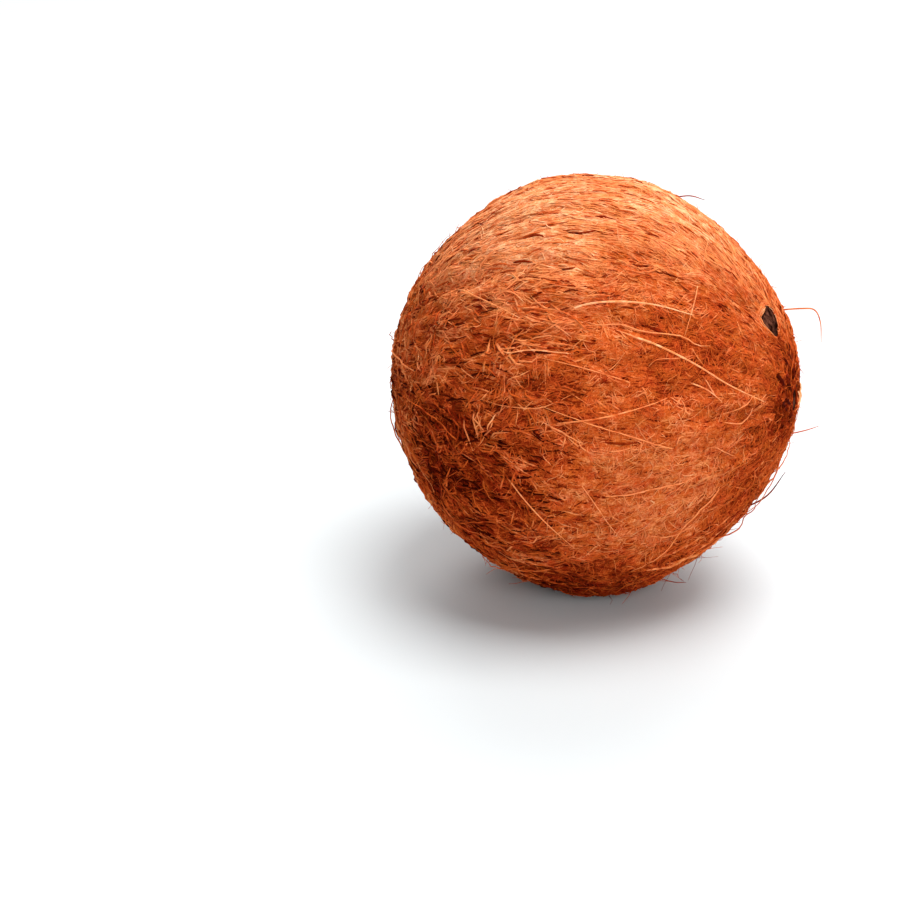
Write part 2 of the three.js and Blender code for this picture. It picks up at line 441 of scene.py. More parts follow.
# %% Node groups
COIR_TONES = (
    (0.0, (0.050, 0.0025, 0.0004)),
    (0.22, (0.21, 0.0165, 0.0022)),
    (0.48, (0.52, 0.083, 0.0135)),
    (0.74, (0.74, 0.222, 0.073)),
    (1.0, (0.87, 0.445, 0.220)),
)


def new_group(name, inputs, output, kind):
    """A node group that takes numbers and has one output, and its two end nodes."""
    group = bpy.data.node_groups.new(name, "ShaderNodeTree")
    for title, value in inputs.items():
        socket = group.interface.new_socket(name=title, in_out="INPUT", socket_type="NodeSocketFloat")
        socket.default_value = value
    group.interface.new_socket(name=output, in_out="OUTPUT", socket_type=kind)
    return group, group.nodes.new("NodeGroupInput"), group.nodes.new("NodeGroupOutput")


def wired(tree, kind, settings=(), **links):
    """A new node with its settings, and values or sockets for its inputs by name or number."""
    node = tree.nodes.new("ShaderNode" + kind)
    for key, value in dict(settings).items():
        setattr(node, key, value)
    for key, value in links.items():
        numbered = key[0] == "_" and key[1:].isdigit()
        socket = node.inputs[int(key[1:]) if numbered else key.replace("_", " ")]
        if isinstance(value, bpy.types.NodeSocket):
            tree.links.new(value, socket)
        else:
            socket.default_value = value
    return node


def math_node(tree, operation, first, second=0.0):
    return wired(tree, "Math", {"operation": operation}, _0=first, _1=second).outputs[0]


def vector_node(tree, operation, first, **others):
    return wired(tree, "VectorMath", {"operation": operation}, _0=first, **others).outputs[0]


def object_place(tree):
    return wired(tree, "TexCoord").outputs["Object"]


def noise_value(tree, place, scale, detail, **more):
    node = wired(tree, "TexNoise", Vector=place, Scale=scale, Detail=detail, **more)
    return node.outputs["Fac"]


def placed_group(tree, group, **values):
    return wired(tree, "Group", {"node_tree": group}, **values).outputs[0]


def coir_colour_group():
    group, start, end = new_group("Coir colour", {"Tone": 0.5}, "Color", "NodeSocketColor")
    drift = noise_value(group, object_place(group), 260.0, 4.0)
    hue = math_node(group, "ADD", math_node(group, "MULTIPLY", drift, 0.02), 0.49)
    ramp = wired(group, "ValToRGB", Fac=start.outputs["Tone"])
    ramp.color_ramp.interpolation = "EASE"
    elements = ramp.color_ramp.elements
    while len(elements) < len(COIR_TONES):
        elements.new(0.5)
    for element, (place, colour) in zip(elements, COIR_TONES):
        element.position = place
        element.color = (*colour, 1)
    drifted = wired(group, "HueSaturation", Hue=hue, Color=ramp.outputs["Color"]).outputs[0]
    group.links.new(drifted, end.inputs["Color"])
    return group


def streak_group():
    sizes = {"Round": 60.0, "Along": 4.0, "Wobble": 0.3}
    group, start, end = new_group("Fibre streaks", sizes, "Streak", "NodeSocketFloat")
    own = wired(group, "Mapping", {"vector_type": "TEXTURE"}, Vector=object_place(group),
                Location=(0, 0, REST_HEIGHT), Rotation=(0, DROOP, 0)).outputs[0]
    bent = wired(group, "TexNoise", Vector=own, Scale=60.0, Detail=2.0).outputs["Color"]
    bent = vector_node(group, "SUBTRACT", bent, _1=(0.5, 0.5, 0.5))
    bent = vector_node(group, "SCALE", bent, Scale=0.05)
    way = vector_node(group, "ADD", vector_node(group, "NORMALIZE", own), _1=bent)
    parts = wired(group, "SeparateXYZ", Vector=way).outputs
    ring = wired(group, "CombineXYZ", Y=parts["Y"], Z=parts["Z"]).outputs[0]
    ring = vector_node(group, "NORMALIZE", ring)
    ring = vector_node(group, "SCALE", ring, Scale=start.outputs["Round"])
    length = math_node(group, "MULTIPLY", parts["X"], start.outputs["Along"])
    length = wired(group, "CombineXYZ", X=length).outputs[0]
    spot = vector_node(group, "ADD", ring, _1=length)
    streak = noise_value(group, spot, 1.0, 4.0, Roughness=0.62, Distortion=start.outputs["Wobble"])
    group.links.new(streak, end.inputs["Streak"])
    return group


COIR_COLOUR = coir_colour_group()
STREAKS = streak_group()
print("node groups:", COIR_COLOUR.name, "and", STREAKS.name)

# %% [markdown]
# The mat's finish starts from the mat's tone, made a little darker as painted shade, because the
# mat lies under the loose fibre. Broad and fine streaks along the grain and the curls of short
# hairs make it lighter or darker, narrow dark slits of painted shade split it, and the same height
# gives the bump. The colour follows that height too, so its dips are darker: partly streaks of
# the coir's own tone, partly painted shade. The fibres' finish reads each fibre's own tone and
# varies it a little along the fibre.

# %% Finishes of mat and fibres
COIR_GLOSS = (1.0, 0.5, 0.25, 1)
WHITE = (1, 1, 1, 1)
SLIT_DEPTH_AND_SHADE = 0.34
MAT_PAINTED_SHADE = 0.07
MOTTLING = 0.6


def new_material(name, roughness, specular, gloss=WHITE):
    material = bpy.data.materials.new(name)
    material.use_nodes = True
    shader = material.node_tree.nodes["Principled BSDF"]
    shader.inputs["Roughness"].default_value = roughness
    shader.inputs["Specular IOR Level"].default_value = specular
    shader.inputs["Specular Tint"].default_value = gloss
    return material, material.node_tree, shader


def dress(tree, shader, colour, height, **bump):
    """The shader takes its colour, and a bump from the height."""
    tree.links.new(colour, shader.inputs["Base Color"])
    bumped = wired(tree, "Bump", Height=height, **bump).outputs["Normal"]
    tree.links.new(bumped, shader.inputs["Normal"])


def mat_finish():
    material, tree, shader = new_material("coir_mat_felt", 0.95, 0.03, COIR_GLOSS)
    tone = wired(tree, "Attribute", {"attribute_name": "tone"}).outputs["Fac"]
    broad = placed_group(tree, STREAKS, Round=30.0, Along=7.0, Wobble=0.5)
    fine = placed_group(tree, STREAKS, Round=130.0, Along=26.0, Wobble=0.8)
    slits = placed_group(tree, STREAKS, Round=70.0, Along=14.0, Wobble=0.3)
    curls = noise_value(tree, object_place(tree), 900.0, 2.5, Distortion=2.4)
    slits = wired(tree, "MapRange", Value=slits, From_Min=0.43, From_Max=0.36).outputs["Result"]
    height = 0.0
    for source, weight in ((broad, 0.5), (fine, 0.7), (curls, 0.7)):
        part = math_node(tree, "MULTIPLY", math_node(tree, "SUBTRACT", source, 0.5), weight)
        height = math_node(tree, "ADD", part, height)
    # Painted shade: the slits are cut into the height, which darkens the colour as well as the bump.
    height = math_node(tree, "SUBTRACT", height, math_node(tree, "MULTIPLY", slits, SLIT_DEPTH_AND_SHADE))
    # Painted shade: the mat's tone is lowered, and it follows the height, so dips are darker.
    tone = math_node(tree, "ADD", math_node(tree, "SUBTRACT", tone, MAT_PAINTED_SHADE), height)
    colour = placed_group(tree, COIR_COLOUR, Tone=tone)
    dress(tree, shader, colour, height, Strength=0.8, Distance=0.7 * MM)
    return material


def fibre_finish():
    material, tree, shader = new_material("coir_fibre", 0.85, 0.04, COIR_GLOSS)
    tone = wired(tree, "Attribute", {"attribute_name": "tone"}).outputs["Fac"]
    mottle = noise_value(tree, object_place(tree), 480.0, 2.0)
    shift = math_node(tree, "MULTIPLY", math_node(tree, "SUBTRACT", mottle, 0.5), MOTTLING)
    colour = placed_group(tree, COIR_COLOUR, Tone=math_node(tree, "ADD", tone, shift))
    dress(tree, shader, colour, mottle, Strength=0.4, Distance=0.1 * MM)
    return material


FELT = mat_finish()
FIBRE = fibre_finish()
finish_piece(add_object("coconut_mat", mat_mesh()), FELT)

# %% [markdown]
# Loose fibre covers the mat in tufts. In a tuft, a dozen fibres lie side by side, lean the same
# way and have nearly one tone. The tufts overlap at slightly different heights, and the gaps
# between them are the dark cracks that run along a real nut. Where the mat is felted, the tufts
# are shorter and lie every way. On the rubbed top they are flatter and calmer, and at the coarse
# far end thicker. The tufts' places are spread evenly by the golden angle. A pair of values
# below is for combed fibre and for felted fibre, or the limits of a draw.

# %% Lay the tufts
draw = np.random.default_rng(41)
TUFTS = 2400
FIBRES_IN_TUFT = 12
TUFT_PIECES = 4
TUFT_STEPS = 4
GOLDEN_ANGLE = pi * (3 - math.sqrt(5))
TUFT_STIR = 0.012
TUFT_LEANS = (radians(12), radians(60))
TUFT_WIDTHS = (1.0 * MM, 1.9 * MM)
TUFT_LEVELS = (-0.22 * MM, 0.14 * MM)
TUFT_TONES = 0.05
TUFT_LENGTHS = (8.5 * MM, 4.8 * MM)
FIBRE_LEANS = (radians(14), radians(45))
FIBRE_KINKS = (radians(8), radians(18))
FIBRE_BENDS = (radians(9), radians(48))
FIBRE_LEVELS = 0.08 * MM
FIBRE_TONES = 0.035
FIBRE_THICKNESS = (0.14 * MM, 0.26 * MM)
FIBRE_RISE = np.array([-0.16, 0.05, 0.06, -0.16]) * MM
FIBRE_TAPER = np.array([0.55, 1.0, 0.95, 0.4])
PALEST_TONES = (0.94, 0.68)
CALM_ON_TOP = 0.5
COARSE_UNREST = 0.9
COARSE_THICKER = 0.45
EYE_CLEARANCE = 5.1 * MM
TABLE_CLEARANCE = 0.6 * MM


def spread_ways(count, stir=0.05):
    """Directions spread evenly over the nut, each a little stirred."""
    turns = GOLDEN_ANGLE * np.arange(count)
    angles = np.arccos(1 - 2 * (np.arange(count) + 0.5) / count)
    return unit(direction(angles, turns) + draw.normal(0, stir, (count, 3)))


def mixed(combed, felted, felt):
    return combed + (felted - combed) * felt


def clear_of_eyes(lines):
    """Which lines of directions keep off the eyes' dishes."""
    near = np.min([reach_of(lines, eye).min(1) for eye in EYES], 0)
    return near > EYE_CLEARANCE


def tuft_fibres():
    centres = spread_ways(TUFTS, TUFT_STIR)
    felt, coarse = felting(centres), coarseness(centres)
    calm = 1 - CALM_ON_TOP * rubbed(centres)
    unrest = (1 + COARSE_UNREST * coarse) * calm
    lean = draw.normal(0, 1, TUFTS) * mixed(*TUFT_LEANS, felt) * calm
    level = draw.uniform(*TUFT_LEVELS, TUFTS) * unrest
    # Painted shade: a tuft that lies lower gets a darker tone, and a higher one a paler tone.
    tone = draw.normal(0, TUFT_TONES, TUFTS) * unrest + 0.15 * level / MM
    of_tufts = (centres, felt, coarse, calm, lean, level, tone)
    of_fibres = [np.repeat(values, FIBRES_IN_TUFT, 0) for values in of_tufts]
    centres, felt, coarse, calm, lean, level, tone = of_fibres
    count = len(centres)
    lengths = mixed(*TUFT_LENGTHS, felt) * draw.uniform(0.5, 1.5, count)
    slide = draw.uniform(-0.5, 0.5, count) * lengths - 0.5 * lengths
    sideways = draw.normal(0, 1, count) * mixed(*TUFT_WIDTHS, felt)
    along = swung(grain(centres), centres, lean)
    side = np.cross(centres, along)
    starts = centres + (along * slide[:, None] + side * sideways[:, None]) / MEAN_RADIUS
    lean = lean + draw.normal(0, 1, count) * mixed(*FIBRE_LEANS, felt) * calm
    kink = draw.normal(0, 1, (count, TUFT_STEPS - 1)) * mixed(*FIBRE_KINKS, felt)[:, None]
    bend = draw.normal(0, 1, count) * mixed(*FIBRE_BENDS, felt)
    swings = lean[:, None] + bend[:, None] * np.linspace(-1, 1, TUFT_STEPS - 1) + kink
    lines = grown(starts, lengths, swings, TUFT_STEPS)
    proud = (level + draw.normal(0, FIBRE_LEVELS, count))[:, None] + FIBRE_RISE
    thickness = draw.uniform(*FIBRE_THICKNESS, count) * (1 + COARSE_THICKER * coarse)
    tones = tone_with_painted_light(lines[:, TUFT_STEPS // 2]) + tone + draw.normal(0, FIBRE_TONES, count) * calm
    return lines, proud, thickness[:, None] * FIBRE_TAPER, np.minimum(tones, mixed(*PALEST_TONES, coarse))


def laid(lines, proud, radii):
    """Points at rest for lines of directions that stand proud of the nut's surface."""
    points = lines * (nut_radius(lines) + CLUMP_HEIGHT * clumps(lines) + proud)[..., None]
    return at_rest(points, radii)


def kept(lines, proud, radii, tones):
    """Leaves out the fibres that would cross an eye or lie under the flat spot."""
    points = laid(lines, proud, radii)
    keep = clear_of_eyes(lines) & (points[..., 2].min(1) > TABLE_CLEARANCE)
    return points[keep], radii[keep], tones[keep]


def lay(name, fibres):
    """One piece of the fibres that are kept."""
    fibre_piece(name, *kept(*fibres))


tufts = kept(*tuft_fibres())
print(len(tufts[0]), "fibres lie in tufts")
for part in range(TUFT_PIECES):
    fibre_piece(f"tuft_fibre_{part + 1}", *(values[part::TUFT_PIECES] for values in tufts))

# %% [markdown]
# Between the tufts the mat is split by short gaps that run lengthwise, longer, wider and
# darker at the coarse far end. The shade in a gap is seen as a dark dash, so each gap is painted
# shade: a dark fibre that lies flush with the tufts and narrows at both ends. Over the felted
# parts lie curls, the short ends that sprang back when the husk was torn off.

# %% Dark gaps and curls
GAPS = 3400
GAP_STEPS = 5
GAP_LEANS = (radians(4), radians(28))
GAP_KINK = radians(7)
GAP_LENGTHS = (1.4 * MM, 6.5 * MM)
GAP_WIDTHS = (0.13, 0.27)
GAP_RISE = np.array([-0.3, 0, 0, 0, -0.3])
GAP_TAPER = np.array([0.3, 0.9, 1.0, 0.9, 0.3])
CURLS = 1900
CURL_STEPS = 6
CURL_HEADINGS = (radians(35), radians(80))
CURL_BEND = radians(55)
CURL_LENGTHS = (1.5 * MM, 4.5 * MM)
CURL_LIFTS = (0.15 * MM, 0.5 * MM)
CURL_WIDTHS = (0.08 * MM, 0.15 * MM)
CURL_TONES = (0.0, 0.11)


def gap_fibres():
    places = spread_ways(GAPS)
    felt, rough, top = felting(places), coarseness(places), rubbed(places)
    lean = draw.normal(0, 1, GAPS) * mixed(*GAP_LEANS, felt)
    swings = lean[:, None] + draw.normal(0, GAP_KINK, (GAPS, GAP_STEPS - 1))
    lengths = draw.uniform(*GAP_LENGTHS, GAPS) * mixed(1.0, 0.4, felt) * (1 + 0.5 * rough)
    proud = draw.uniform(0.0, mixed(0.30, 0.12, felt)) + 0.06 * top + 0.10 * rough
    width = draw.uniform(*GAP_WIDTHS, GAPS) * (1 + 0.8 * rough * draw.uniform(0, 1, GAPS))
    width = width * (1 - 0.2 * top)
    # Painted shade: how much darker than the tone around it each gap is.
    darker = draw.uniform(0.12, mixed(0.44, 0.32, felt)) + 0.13 * rough + 0.04 * top
    lines = grown(places, lengths, swings, GAP_STEPS)
    radii = width[:, None] * GAP_TAPER * MM
    return lines, (proud[:, None] + GAP_RISE) * MM, radii, tone_with_painted_light(places) - darker


def curl_fibres():
    places = spread_ways(CURLS)
    rough = coarseness(places)
    heading = draw.normal(0, 1, CURLS) * mixed(*CURL_HEADINGS, felting(places))
    curl = draw.normal(0, CURL_BEND, CURLS)
    swings = heading[:, None] + curl[:, None] * np.linspace(-1, 1, CURL_STEPS - 1)
    lines = grown(places, draw.uniform(*CURL_LENGTHS, CURLS), swings, CURL_STEPS)
    arch = np.sin(np.linspace(0, pi, CURL_STEPS)) ** 0.6
    proud = draw.uniform(*CURL_LIFTS, CURLS)[:, None] * arch - 0.05 * MM
    radii = (draw.uniform(*CURL_WIDTHS, CURLS) * (1 + 0.3 * rough))[:, None] * (0.4 + 0.6 * arch)
    return lines, proud, radii, tone_with_painted_light(places) + draw.uniform(*CURL_TONES, CURLS) + 0.03 * rough


lay("gaps_painted_shade", gap_fibres())
lay("felt_curls", curl_fibres())

# %% [markdown]
# Single stray fibres lie across the tufts at any angle, curl, and are paler than the rest,
# because they dried in the open. Shorter hairs stand off the surface and soften the outline.

# %% Scatter strays and hairs
STRAYS = 420
STRAY_STEPS = 7
STRAY_STIR = 0.06
STRAY_LENGTHS = (4 * MM, 12 * MM)
STRAY_LEANS = (radians(14), radians(55))
STRAY_CURL = radians(30)
STRAY_KINK = radians(9)
STRAY_LIFTS = (0.3, 0.9)
STRAY_TIPS = (0, 0.9)
STRAY_LESS_ON_TOP = 0.9
STRAY_WIDTHS = (0.10 * MM, 0.19 * MM)
STRAY_TONES = (0.02, 0.18)
HAIRS = 900
HAIR_STEPS = 5
HAIR_LENGTHS = (2 * MM, 5 * MM)
HAIR_LIFTS = (0.5, 2.6)
HAIR_KINK = 0.3
HAIR_WIDTHS = (0.09 * MM, 0.15 * MM)
HAIR_TONES = (-0.15, 0.2)
UNDERSIDE = (0.55, 0.85)


def stray_fibres():
    places = spread_ways(STRAYS, STRAY_STIR)
    along = np.linspace(0, 1, STRAY_STEPS)
    lengths = draw.uniform(*STRAY_LENGTHS, STRAYS)
    lean = draw.normal(0, 1, STRAYS) * mixed(*STRAY_LEANS, felting(places))
    curl = draw.normal(0, STRAY_CURL, STRAYS)
    swings = lean[:, None] + curl[:, None] * np.linspace(-1, 1, STRAY_STEPS - 1)
    swings = swings + draw.normal(0, STRAY_KINK, (STRAYS, STRAY_STEPS - 1))
    lift = draw.uniform(*STRAY_LIFTS, STRAYS)[:, None] * np.sin(pi * along)
    tip = draw.uniform(*STRAY_TIPS, STRAYS)[:, None] * along ** 3
    proud = (-0.1 + lift + tip - STRAY_LESS_ON_TOP * rubbed(places)[:, None]) * MM
    radii = draw.uniform(*STRAY_WIDTHS, STRAYS)[:, None] * (1 - 0.6 * along ** 2)
    tones = tone_with_painted_light(places) + draw.uniform(*STRAY_TONES, STRAYS) + 0.04 * coarseness(places)
    return grown(places, lengths, swings, STRAY_STEPS), proud, radii, tones


def hair_fibres():
    places = spread_ways(HAIRS)
    along = np.linspace(0, 1, HAIR_STEPS)
    below = 1 + smooth_step(-places[:, 2], *UNDERSIDE)
    lengths = draw.uniform(*HAIR_LENGTHS, HAIRS) * below
    swings = draw.uniform(-pi, pi, HAIRS)[:, None] + draw.normal(0, HAIR_KINK, (HAIRS, HAIR_STEPS - 1))
    lift = (draw.uniform(*HAIR_LIFTS, HAIRS) * below)[:, None]
    proud = (-0.3 + lift * along ** 1.3) * MM
    radii = draw.uniform(*HAIR_WIDTHS, HAIRS)[:, None] * (1 - 0.6 * along)
    tones = tone_with_painted_light(places) + draw.uniform(*HAIR_TONES, HAIRS)
    return grown(places, lengths, swings, HAIR_STEPS), proud, radii, tones


lay("stray_fibre", stray_fibres())
lay("short_hairs", hair_fibres())

# %% [markdown]
# The thickest loose strands are the ones that the solid also has: a set laid by a rule all over
# the nut but for its top, and a few long ones laid point by point. They are made from
# the same values, with six sides, many more points and a taper, so that they lie where the
# solid's do.

# %% Coarse strands by the rule
STRAND_TRIES = 66
STRAND_SINK = 1.2
STRAND_LENGTHS = (20, 46)
STRAND_LIFTS = (1.3, 2.6)
ARCH_POWER = 0.7
LOOSE_TIP_EVERY = 3
LOOSE_TIP_LIFT = 4
STRAND_SLANT = radians(32)
STRAND_BEND = radians(24)
STRAND_STEPS = 20
SOLID_STEPS = 5
STRAND_THICKNESS = 0.42 * MM
STRAND_EYE_CLEARANCE = radians(9)
STRAND_TABLE_CLEARANCE = 3 * MM
STRAND_TOP_CLEARANCE = radians(55)
GOLDEN_STEP = 0.6180339887


def share_of(index, step):
    """An even spread of values from 0 to 1 with no visible order."""
    return (0.5 + (index + 1) * step) % 1


def between(limits, share):
    return limits[0] + (limits[1] - limits[0]) * share


def turned(vector, axis, angle):
    """A vector turned about a unit axis."""
    return np.array(Matrix.Rotation(angle, 3, Vector(axis)) @ Vector(vector))


def strand_line(index):
    """A coarse strand's directions and its heights above the mat."""
    start = direction(np.arccos(1 - 2 * (index + 0.5) / STRAND_TRIES), 2 * pi * GOLDEN_STEP * index)
    length = between(STRAND_LENGTHS, share_of(index, math.sqrt(2))) * MM
    lift = between(STRAND_LIFTS, share_of(index, math.sqrt(3)))
    bend = between((-STRAND_BEND, STRAND_BEND), share_of(index, math.sqrt(5)))
    slant = between((-STRAND_SLANT, STRAND_SLANT), share_of(index, math.sqrt(7)))
    tip = LOOSE_TIP_LIFT if index % LOOSE_TIP_EVERY == 0 else -STRAND_SINK
    heading = unit(np.array([1.0, 0, 0]) - start * start[0])
    heading = turned(heading, start, slant)
    if index % 2:
        heading = -heading
    place = start
    step = length / MEAN_RADIUS / STRAND_STEPS
    ways, heights = [], []
    for k in range(STRAND_STEPS + 1):
        share = k / STRAND_STEPS
        arch = math.sin(pi * share) ** ARCH_POWER * (lift + STRAND_SINK) if 0 < share < 1 else 0
        ways.append(place)
        heights.append(-STRAND_SINK + arch + max(0, 2 * share - 1) * (tip + STRAND_SINK))
        side = unit(np.cross(place, heading))
        place, heading = turned(place, side, step), turned(heading, side, step)
        heading = turned(heading, place, bend / STRAND_STEPS)
    return np.array(ways), np.array(heights) * MM


def is_clear(ways, heights):
    """Whether a coarse strand keeps off the eyes, the table and the top."""
    corners = slice(None, None, STRAND_STEPS // SOLID_STEPS)
    ways, heights = ways[corners], heights[corners]
    near_eye = max((ways @ eye).max() for eye in EYES) > math.cos(STRAND_EYE_CLEARANCE)
    near_top = ways[:, 2].max() > math.cos(STRAND_TOP_CLEARANCE)
    lowest = laid(ways, heights, np.zeros(len(ways)))[:, 2].min()
    return not near_eye and not near_top and lowest > STRAND_TABLE_CLEARANCE


coarse = [strand_line(index) for index in range(STRAND_TRIES)]
coarse = [strand for strand in coarse if is_clear(*strand)]
print(len(coarse), "coarse strands follow the rule")
coarse_ways = np.array([ways for ways, heights in coarse])
coarse_heights = np.array([heights for ways, heights in coarse])
taper = 1 - 0.65 * np.linspace(0, 1, STRAND_STEPS + 1) ** 2
coarse_radii = draw.uniform(0.7, 1.0, len(coarse))[:, None] * STRAND_THICKNESS * taper * 0.6
coarse_points = laid(coarse_ways, coarse_heights, coarse_radii)
coarse_tones = tone_with_painted_light(coarse_ways[:, STRAND_STEPS // 2])
coarse_tones = coarse_tones + draw.uniform(0.0, 0.16, len(coarse))
fibre_piece("coarse_strands", coarse_points, coarse_radii, coarse_tones, sides=6)

# %% [markdown]
# The long strands are what makes this nut this one: a pale arc over its belly, one that slants
# down to the eye end, and curls that stand off its outline. Each is a short list of places: the
# angle from the eye end and the turn round the nut, in degrees, and the height in millimetres. A
# spline that passes through each place gives a smooth line.

# %% Long strands, listed
LONG_STRANDS = (
    ((97, 145, -1.2), (91, 143.5, 1.4), (83.5, 142, 2), (74.5, 141, 2.2), (64, 140.5, 1.6)),
    ((83, 149, -1.2), (74.5, 151, 1.4), (62.5, 154.5, 2), (50, 159.5, 2), (34, 165.5, 1.4)),
    ((62.5, 122, -1.2), (63.5, 134, 1.6), (65.5, 147, 1.2)),
    ((112, 191, -1.2), (104, 196.5, 1.6), (97.5, 203, 2.2), (90.5, 211.5, 2.4)),
    ((76, 80.5, -1.2), (70, 83, 2.4), (65.5, 84, 4.4)),
    ((27, 76.5, -1.2), (25, 77.5, 5), (23.5, 78, 8.2), (20, 77.5, 8.6), (15, 77, 7.4)),
    ((11.5, 247, -1.2), (9, 243, 3.4), (7, 238, 7)),
    ((38, 246, -1.2), (30, 245.5, 2.2), (21.5, 245.5, 3.2)),
    ((62, 160, -0.4), (56.5, 162, 1.2), (51.5, 165.5, 1.0)),
    ((69, 250, -0.4), (65, 249.5, 3.0), (62, 248.5, 5.0)),
    ((90, 189.5, -0.4), (85.5, 196.5, 1.2), (81.5, 204.5, 1.2), (77, 214.5, 0.8)),
    ((62, 109, 0.2), (62.5, 116, 0.9), (62.5, 122.5, 0.4)),
)
LONG_STEPS = 28
LONG_THICKNESS = (0.30, 0.27, 0.17, 0.20, 0.20, 0.24, 0.18, 0.24, 0.22, 0.16, 0.16, 0.12)
LONG_TONES = (0.88, 0.82, 0.78, 0.72, 0.26, 0.62, 0.46, 0.16, 0.80, 0.3, 0.72, 0.76)


def smooth_line(knots, steps):
    """Points along a Catmull-Rom spline through the knots."""
    padded = np.concatenate([[2 * knots[0] - knots[1]], knots, [2 * knots[-1] - knots[-2]]])
    points = []
    for place in np.linspace(0, len(knots) - 1, steps):
        k = min(int(place), len(knots) - 2)
        t = place - k
        before, first, second, after = padded[k:k + 4]
        points.append(first + 0.5 * t * (second - before + t * (
            2 * before - 5 * first + 4 * second - after + t * (3 * (first - second) + after - before))))
    return np.array(points)


def long_strand_points(places, radii):
    knots = np.array(places, float)
    ways = direction(np.radians(knots[:, 0]), np.radians(knots[:, 1]))
    points = smooth_line(ways * (nut_radius(ways) + knots[:, 2] * MM)[:, None], LONG_STEPS)
    return at_rest(points, radii)


long_taper = 1 - 0.7 * np.linspace(0, 1, LONG_STEPS) ** 3
long_radii = np.array(LONG_THICKNESS)[:, None] * long_taper * MM
long_points = np.array([long_strand_points(*both) for both in zip(LONG_STRANDS, long_radii)])
fibre_piece("long_strands", long_points, long_radii, np.array(LONG_TONES), sides=6)

# %% [markdown]
# The front of the nut also has finer marks that one knows it by: thin pale strands, cracks in
# the mat, dark crevices round the stalk's place, broad orange straps of husk under its lower
# edge, and the stalk's scar, a few pale splinters. The cracks and crevices are painted shade:
# dark strands laid where the shade in them falls. Each is again a few places, in degrees. Its
# height follows an arch.

# %% Fine strands, cracks, straps and scar, listed
FINE_STRANDS = (
    ((114.5, 154), (111, 157), (105, 156), (97.5, 156), (93, 156)),
    ((119.5, 170.5), (113, 171.5), (104, 171), (100, 170), (96.5, 168)),
    ((125.5, 162), (123.5, 163.5), (121.5, 165)),
    ((119.5, 173.5), (119, 176.5), (118, 180)),
    ((113.5, 173.5), (115, 177), (116.5, 180.5)),
    ((101, 174), (95.5, 176), (89, 179)),
    ((111.5, 164.5), (109.5, 163.5), (107, 162.5), (104.5, 161)),
    ((100.5, 183), (99, 184), (97.5, 185.5)),
    ((114, 140.5), (110, 141.5), (107, 144)),
    ((113.5, 147), (110.5, 148), (107.5, 148.5)),
    ((100, 149), (97, 150.5), (94.5, 152)),
    ((92, 147.5), (88, 148), (83, 147), (76.5, 148), (66.5, 147), (61, 148.5), (55, 147)),
    ((74.5, 157.5), (72.5, 155), (68, 154), (62.5, 152.5)),
    ((62.5, 149.5), (59.5, 153), (56.5, 156)),
    ((57.5, 158.5), (55, 161.5), (53, 164.5)),
    ((50, 170.5), (44.5, 169), (39.5, 164.5), (37.5, 162.5)),
    ((49, 173.5), (41.5, 175), (37.5, 172), (37, 168)),
    ((50.5, 183), (46, 187), (41, 192)),
    ((70, 184.5), (66.5, 187), (63, 189.5)),
    ((86, 160), (83.5, 161.5), (81, 162)),
    ((82.5, 196), (81, 200.5), (76.5, 207.5)),
    ((83, 180.5), (80, 180), (77, 179.5)),
    ((84.5, 148.5), (79.5, 149.8), (74.5, 151)),
)
CRACKS = (
    ((133, 161.5), (127.5, 159.5), (122.5, 158)),
    ((128.5, 173.5), (123.5, 172.5), (118.5, 172.5)),
    ((123, 190), (118.5, 188), (114, 186)),
    ((111, 157.5), (105, 156.5), (98, 156.5)),
    ((120.5, 164), (117, 164.5), (112, 165.5)),
    ((114.5, 155.5), (110.5, 155.5), (107.5, 155)),
    ((131, 97), (126.5, 105), (122.5, 109.5)),
    ((70, 119.5), (68, 119.5), (66, 119.5)),
    ((85.5, 178), (79.5, 178.5), (73.5, 178)),
    ((100, 134.5), (98, 135), (95, 134)),
    ((106.5, 143), (104.5, 142), (102, 141)),
    ((114.5, 136.5), (107.5, 137), (101.5, 138), (93, 138.5)),
    ((100.5, 124), (95.5, 124.5), (90, 122.5)),
    ((20, 122), (15.5, 128.5), (13.5, 142)),
    ((12, 142.5), (8.5, 161.5), (5.5, 207.5)),
    ((24, 141.5), (22, 144), (19.5, 145)),
    ((31.5, 161), (29, 162), (26, 162.5)),
    ((41, 97.5), (39.5, 96.5), (37.5, 95.5)),
    ((85.5, 142.5), (82.5, 142.5), (78.5, 142.5)),
    ((78, 146), (73.5, 146.5), (70, 147.5)),
    ((83, 130.5), (80, 130.5), (77, 129)),
    ((81, 120.5), (78, 120), (75, 120)),
    ((111, 124.5), (107.5, 124.5), (104, 125.5)),
    ((94, 118), (91, 117), (87, 116.5)),
    ((76, 130.5), (72, 130), (68.5, 129.5)),
    ((112, 132.5), (109, 132.5), (105.5, 133)),
    ((123, 142), (119.5, 142), (115.5, 143)),
    ((98.5, 141.5), (95.5, 140.5), (92.5, 140.5)),
)
CREVICES = (
    ((22.5, 115), (20.5, 119.5), (21, 129)),
    ((25.5, 134.5), (23, 135.5), (21.5, 138.5)),
    ((18.5, 134), (16.5, 137), (14.5, 143.5)),
    ((21, 146.5), (18, 151), (15, 158)),
    ((21, 162), (17.5, 166.5), (14.5, 171.5)),
    ((27.5, 148), (24.5, 150.5), (22, 155)),
    ((23.5, 164.5), (19.5, 169.5), (16, 179.5)),
    ((16, 175), (14, 187), (15, 195.5)),
)
STRAPS = (
    ((66.5, 233.5), (58, 236.5), (49.5, 237.5), (40, 234.5)),
    ((68.5, 227.5), (59, 229.5), (51.5, 227.5), (42.5, 224.5)),
    ((64, 239.5), (55, 244), (47, 244.5), (37, 243)),
    ((73, 232.5), (64.5, 235.5), (56.5, 240)),
)
